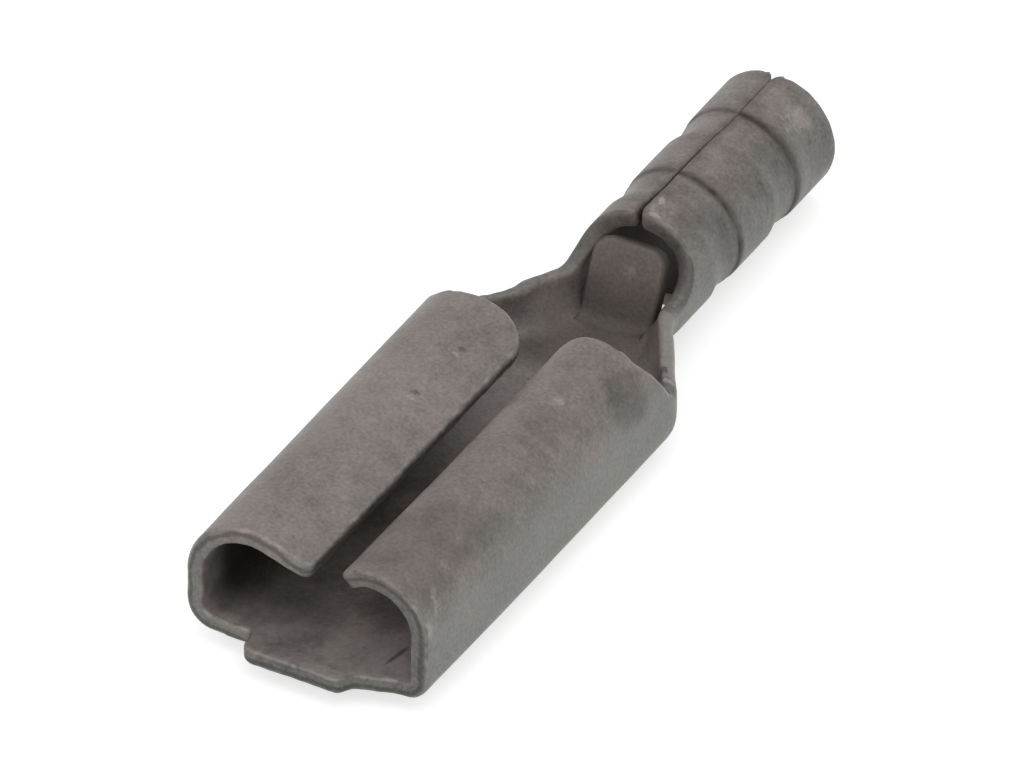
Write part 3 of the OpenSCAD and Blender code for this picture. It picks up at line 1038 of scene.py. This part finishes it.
def surface(tree):
    """Everything that the finish reads at a point: its place, its place on the blank, and the masks."""
    marked = ("sheared", "through", "rim", "crease", "stop")
    on = SimpleNamespace(**{name: attribute(tree, name) for name in marked})
    on.place = Field(tree, tree.nodes.new("ShaderNodeTexCoord").outputs["Object"])
    on.z = separate(tree, on.place)[2]
    uv = add(tree, "ShaderNodeUVMap", {}, uv_map="blank")
    on.across, on.along = ((part - 0.5) * UV_SPAN for part in separate(tree, uv)[:2])
    on.flat = combine(tree, on.across, on.along)
    on.aside = size_of(on.across)
    on.left = above(0, on.across)
    on.inner_face = above(on.through, 0.5)
    on.not_inner = above(0, on.through + 0.5)
    on.outer_half, on.inner_half = above(0, on.through), above(on.through, 0)
    on.roll_edges = on.sheared * above(ALONG.roll_edges, on.along)

    def mottling(place, size):
        return group_fields(tree, "ShaderNodeGroup", "Mottling", {"Place": place, "Size": size})

    def specks(size, share):
        inputs = {"Place": on.place, "Size": size, "Share": share}
        return group_fields(tree, "ShaderNodeGroup", "Specks", inputs)["Mask"]

    on.broad = mottling(on.place, BROAD)["Blotches"]
    close = mottling(on.place, CLOSE)
    on.close, on.grain = close["Blotches"], close["Grain"]
    squeeze = {0: on.flat, 1: (STREAK_SQUEEZE, 1, 1)}
    squeezed = add(tree, "ShaderNodeVectorMath", squeeze, operation="MULTIPLY")
    on.streaks = mottling(squeezed, STREAK)["Blotches"]
    wear = group_fields(tree, "ShaderNodeGroup", "Edge wear", {"Place": on.place, "Amount": WEAR})
    on.worn, on.shear_line = wear["Worn"], wear["Shear line"]
    on.specks = higher(specks(*FINE_SPECKS), specks(*COARSE_SPECKS)) * on.not_inner
    on.pits = marks(tree, on.flat, PITS) * on.outer_half
    on.scratches = marks(tree, on.flat, SCRATCHES) * on.inner_half
    on.smudges = marks(tree, on.flat, SMUDGES) * on.outer_half
    on.lighter_tin = marks(tree, on.flat, RUBBED)
    return on


def plated(tree, on, finish):
    """The plating's colour: warmer above, greener below and on the edges, in uneven patches, with painted
    shade on the front rims and on the rolls' sheared edges.
    """
    inner_rise, edge_chill = 0.35, 0.3
    rise = (on.z - WARM_HEIGHT) / WARM_RISE
    rise = rise + (inner_rise - rise) * on.inner_face
    warmth = clamp(0.4 + rise + 1.4 * on.broad + on.close - edge_chill * on.roll_edges)
    tone = blend(tree, warmth, tuple(finish.cool), tuple(finish.plating))
    shade = 1 + 0.55 * on.broad + 0.8 * on.close + 0.9 * on.grain
    wing_shade, rear_share, painted_edge_shade, painted_rim_shade = 0.14, 0.8, 0.16, 0.2
    on_wings = grows(on.along, *ALONG.wings) * (1 - rear_share * grows(on.along, *ALONG.rear_band))
    # Painted shade: the rolls' sheared edges are made darker, against the light that the front lamp throws on
    # them.
    shade = shade - wing_shade * on_wings * (1 - on.inner_face) - painted_edge_shade * on.roll_edges
    # Painted shade: the sheared faces of the front rims on the right wall and on the tongue face the mouth,
    # and are made darker for the shade they lie in.
    front = above(ALONG.front_rims, on.along) * higher(above(on.across, ACROSS.right_rim), above(0, on.along))
    shade = shade - painted_rim_shade * on.sheared * front
    shade = shade + on.streaks * above(on.along, ALONG.streaks) * on.outer_half
    return add(tree, "ShaderNodeVectorMath", {0: tone, "Scale": shade}, operation="SCALE")


def brightness(on):
    """Where the tin is lighter: worn corners, marks of handling and specks, a worn lip that also carries
    painted light, and painted light in the bore and on the neck's right rim.
    """
    worn_share, rim_share, bore_light_share, speck_share = 0.55, 0.3, 0.5, 0.26
    off_stop = 1 - on.stop
    worn = on.worn * (1 - within(on.along, *ALONG.unworn)) * off_stop
    # Painted highlight: the sheared face of the neck's right rim is made lighter for the light it catches.
    neck_rim_highlight = on.sheared * within(on.along, *ALONG.neck_rim_highlight) * off_stop * above(on.across, 0)
    bright = higher(worn * worn_share, on.lighter_tin * (0.6 + 1.2 * on.grain), neck_rim_highlight * rim_share)
    # The mouth's lip is lighter: partly wear where the tab rubs it, partly painted light that lifts the shade
    # inside the mouth.
    lip = fades(on.along, *ALONG.lip) * (0.3 + on.close)
    # Painted light: the inner face of the barrel beyond the wire stop is made lighter, standing for light
    # that does not reach into the bore.
    bore = above(on.along, ALONG.barrel) * off_stop * bore_light_share
    bright = bright + on.inner_face * (1 - on.sheared) * higher(lip, bore)
    return clamp(bright + on.specks * speck_share)


def darkening(on):
    """Where the tin is darker: along the creases, in the shear line, pits, scratches and smudges, painted
    shade on the seam, the wings' front edges and the stop, and dirt with painted shade in the rolls and the
    neck.
    """
    creases = on.crease * on.not_inner * clamp(DARKENING.crease + 1.8 * on.broad + on.close)
    # Painted shade along the barrel's seam, standing for the shade in the slit.
    seam = above(on.along, ALONG.barrel) * (1 - on.stop) * above(on.aside, ACROSS.seam)
    seam = seam * above(ALONG.seam_end, on.along) * clamp(1 - on.rim * 3)
    # Painted shade on the wings' sheared front edges, which lie in the shade between the wings and the wire
    # stop.
    wings = grows(on.along, *ALONG.wing_edges) * above(ALONG.wing_tips, on.along)
    wings = on.sheared * wings * above(on.aside, ACROSS.wings)
    # Deep inside the rolls: dirt and painted shade where little light reaches, stronger on the left.
    deep = grows(on.aside + ACROSS.deep_left_shift * on.left, *ACROSS.deep) * grows(on.along, *ALONG.deep)
    in_rolls = on.inner_face * above(ALONG.rolls, on.along) * deep
    # Inside the neck: dirt together with painted shade, stronger on its floor and on the wire stop's fold.
    neck = on.inner_face * grows(on.along, *ALONG.neck) * above(ALONG.neck_end, on.along)
    floor = fades(on.aside, *ACROSS.floor) * (1 - 0.5 * grows(on.along, *ALONG.stop_foot))
    in_neck = DARKENING.neck + DARKENING.stop * on.stop + DARKENING.neck_floor * floor + 0.3 * on.close
    return higher(
        creases * (1 - DARKENING.crease_less_left * on.left),
        seam * (DARKENING.seam + 0.8 * on.broad),
        wings * DARKENING.wings,
        on.shear_line * above(ALONG.shear_line, on.along) * DARKENING.shear_line,
        neck * in_neck,
        # Painted shade on the wire stop's sheared edges, which dims the light they catch.
        on.sheared * on.stop * DARKENING.stop_edge,
        in_rolls * (DARKENING.rolls + DARKENING.rolls_left * on.left),
        on.pits * DARKENING.pits,
        on.scratches * DARKENING.scratches,
        on.smudges * DARKENING.smudges,
    )


def tin_material(finish):
    """Dull tin plating: mottled, worn on its edges, with dirt and painted shade in its folds and painted
    highlights in places.
    """
    for group in (mottling_group, mark_group, specks_group, wear_group):
        group()
    material = bpy.data.materials.new("dull_tin")
    material.use_nodes = True
    tree = material.node_tree
    shader = tree.nodes["Principled BSDF"]
    on = surface(tree)
    # The lighter tin lays wear and painted highlights over the plating; grime and painted shade go over that.
    tone = blend(tree, brightness(on), plated(tree, on, finish), tuple(finish.lighter_tin))
    grime_and_shade = clamp(darkening(on))
    connect(tree, blend(tree, grime_and_shade, tone, tuple(finish.grime_and_shade)), shader.inputs["Base Color"])
    shader.inputs["Metallic"].default_value = 0.45
    roughness = 0.5 + 0.5 * on.close + 0.2 * grime_and_shade - 0.12 * on.lighter_tin
    connect(tree, roughness, shader.inputs["Roughness"])
    height = 0.6 * on.grain + on.close + 0.5 * on.specks - 1.2 * on.pits - 1.2 * on.scratches
    relief = {"Strength": 0.6, "Distance": 0.012 * MM, "Height": height}
    connect(tree, add(tree, "ShaderNodeBump", relief), shader.inputs["Normal"])
    return material


# --- the stage

FLOOR_SIZE = 0.4
FLOOR_GLOW = 0.62
ROOM_LIGHT = 0.76
# Name, place, width and power of each lamp
LAMPS = (("overhead", (0.04, -0.03, 0.17), 0.16, 0.06), ("front", (0.01, -0.2, 0.06), 0.12, 0.07))
CAMERA_TURN = math.radians(29.43)
CAMERA_HEIGHT = math.radians(36.48)
CAMERA_DISTANCE = 0.3984
CAMERA_LENS = 1103.8
CAMERA_AIM = Vector((0, 0, 1.02 * MM))
CAMERA_SLIDE = (-0.321 * MM, -0.162 * MM)


def make_floor(scene):
    """A plain pale floor that shows as white and keeps a faint shadow."""
    mesh = bpy.data.meshes.new("floor")
    corners = [(x * FLOOR_SIZE, y * FLOOR_SIZE, 0) for x, y in ((-1, -1), (1, -1), (1, 1), (-1, 1))]
    mesh.from_pydata(corners, [], [(0, 1, 2, 3)])
    floor = bpy.data.objects.new("floor", mesh)
    scene.collection.objects.link(floor)
    material = bpy.data.materials.new("floor")
    material.use_nodes = True
    tree = material.node_tree
    shader = tree.nodes["Principled BSDF"]
    shader.inputs["Base Color"].default_value = scene.terminal_finish.floor
    shader.inputs["Roughness"].default_value = 0.9
    shader.inputs["Emission Color"].default_value = (1, 1, 1, 1)
    rays = tree.nodes.new("ShaderNodeLightPath")
    kinds = ("Is Camera Ray", "Is Glossy Ray", "Is Transmission Ray")
    seen = higher(*(Field(tree, rays.outputs[kind]) for kind in kinds))
    connect(tree, seen * FLOOR_GLOW, shader.inputs["Emission Strength"])
    mesh.materials.append(material)


def make_lights(scene):
    """A pale room, a large soft lamp overhead and a weak one low in front of the mouth."""
    world = bpy.data.worlds.new("room")
    world.use_nodes = True
    background = world.node_tree.nodes["Background"]
    background.inputs["Color"].default_value = (1, 1, 1, 1)
    background.inputs["Strength"].default_value = ROOM_LIGHT
    scene.world = world
    for name, place, size, power in LAMPS:
        lamp = bpy.data.lights.new(name, "AREA")
        lamp.shape = "DISK"
        lamp.size = size
        lamp.energy = power
        obj = bpy.data.objects.new(name, lamp)
        obj.location = place
        obj.rotation_euler = (CAMERA_AIM - Vector(place)).to_track_quat("-Z", "Y").to_euler()
        scene.collection.objects.link(obj)


def make_camera(scene):
    """The camera, a long way off with a long lens."""
    lens = bpy.data.cameras.new("camera")
    lens.lens = CAMERA_LENS
    camera = bpy.data.objects.new("camera", lens)
    turn, height = CAMERA_TURN, CAMERA_HEIGHT
    back = Vector((math.sin(turn) * math.cos(height), -math.cos(turn) * math.cos(height), math.sin(height)))
    right = Vector((math.cos(turn), math.sin(turn), 0))
    up = back.cross(right)
    aim = CAMERA_AIM + right * CAMERA_SLIDE[0] + up * CAMERA_SLIDE[1]
    camera.location = aim + back * CAMERA_DISTANCE
    camera.rotation_euler = (-back).to_track_quat("-Z", "Y").to_euler()
    scene.collection.objects.link(camera)
    scene.camera = camera


# --- operators


class TERMINAL_OT_sheet(bpy.types.Operator):
    """Cuts the blank, folds it and finishes it"""

    bl_idname = "terminal.sheet"
    bl_label = "Folded sheet"

    def execute(self, context):
        scene = context.scene
        sizes, finish = scene.terminal_sizes, scene.terminal_finish
        piece = fold(blank_object(sizes, finish.seed), sizes, tin_material(finish))
        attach(piece, "root")
        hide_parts("terminal")
        return {"FINISHED"}


class TERMINAL_OT_stage(bpy.types.Operator):
    """Sets up the floor, the lights and the camera"""

    bl_idname = "terminal.stage"
    bl_label = "Stage"

    def execute(self, context):
        scene = context.scene
        scene.view_settings.view_transform = "Standard"
        make_floor(scene)
        make_lights(scene)
        make_camera(scene)
        return {"FINISHED"}


class TERMINAL_PT_panel(bpy.types.Panel):
    """Lists the terminal's operators"""

    bl_idname = "TERMINAL_PT_panel"
    bl_label = "Spade terminal"
    bl_space_type = "VIEW_3D"
    bl_region_type = "UI"
    bl_category = "Terminal"

    def draw(self, context):
        for operator in OPERATORS:
            self.layout.operator(operator.bl_idname)
        for group in (context.scene.terminal_sizes, context.scene.terminal_finish):
            box = self.layout.box()
            for name in group.__annotations__:
                box.prop(group, name)


OPERATORS = (TERMINAL_OT_sheet, TERMINAL_OT_stage)
CLASSES = (TerminalSizes, TerminalFinish) + OPERATORS + (TERMINAL_PT_panel,)


def register():
    for cls in CLASSES:
        bpy.utils.register_class(cls)
    bpy.types.Scene.terminal_sizes = PointerProperty(type=TerminalSizes)
    bpy.types.Scene.terminal_finish = PointerProperty(type=TerminalFinish)


def unregister():
    del bpy.types.Scene.terminal_finish
    del bpy.types.Scene.terminal_sizes
    for cls in reversed(CLASSES):
        bpy.utils.unregister_class(cls)


def main():
    """Builds the stage and the terminal."""
    register()
    bpy.ops.terminal.stage()
    bpy.ops.terminal.sheet()


if __name__ == "__main__":
    main()
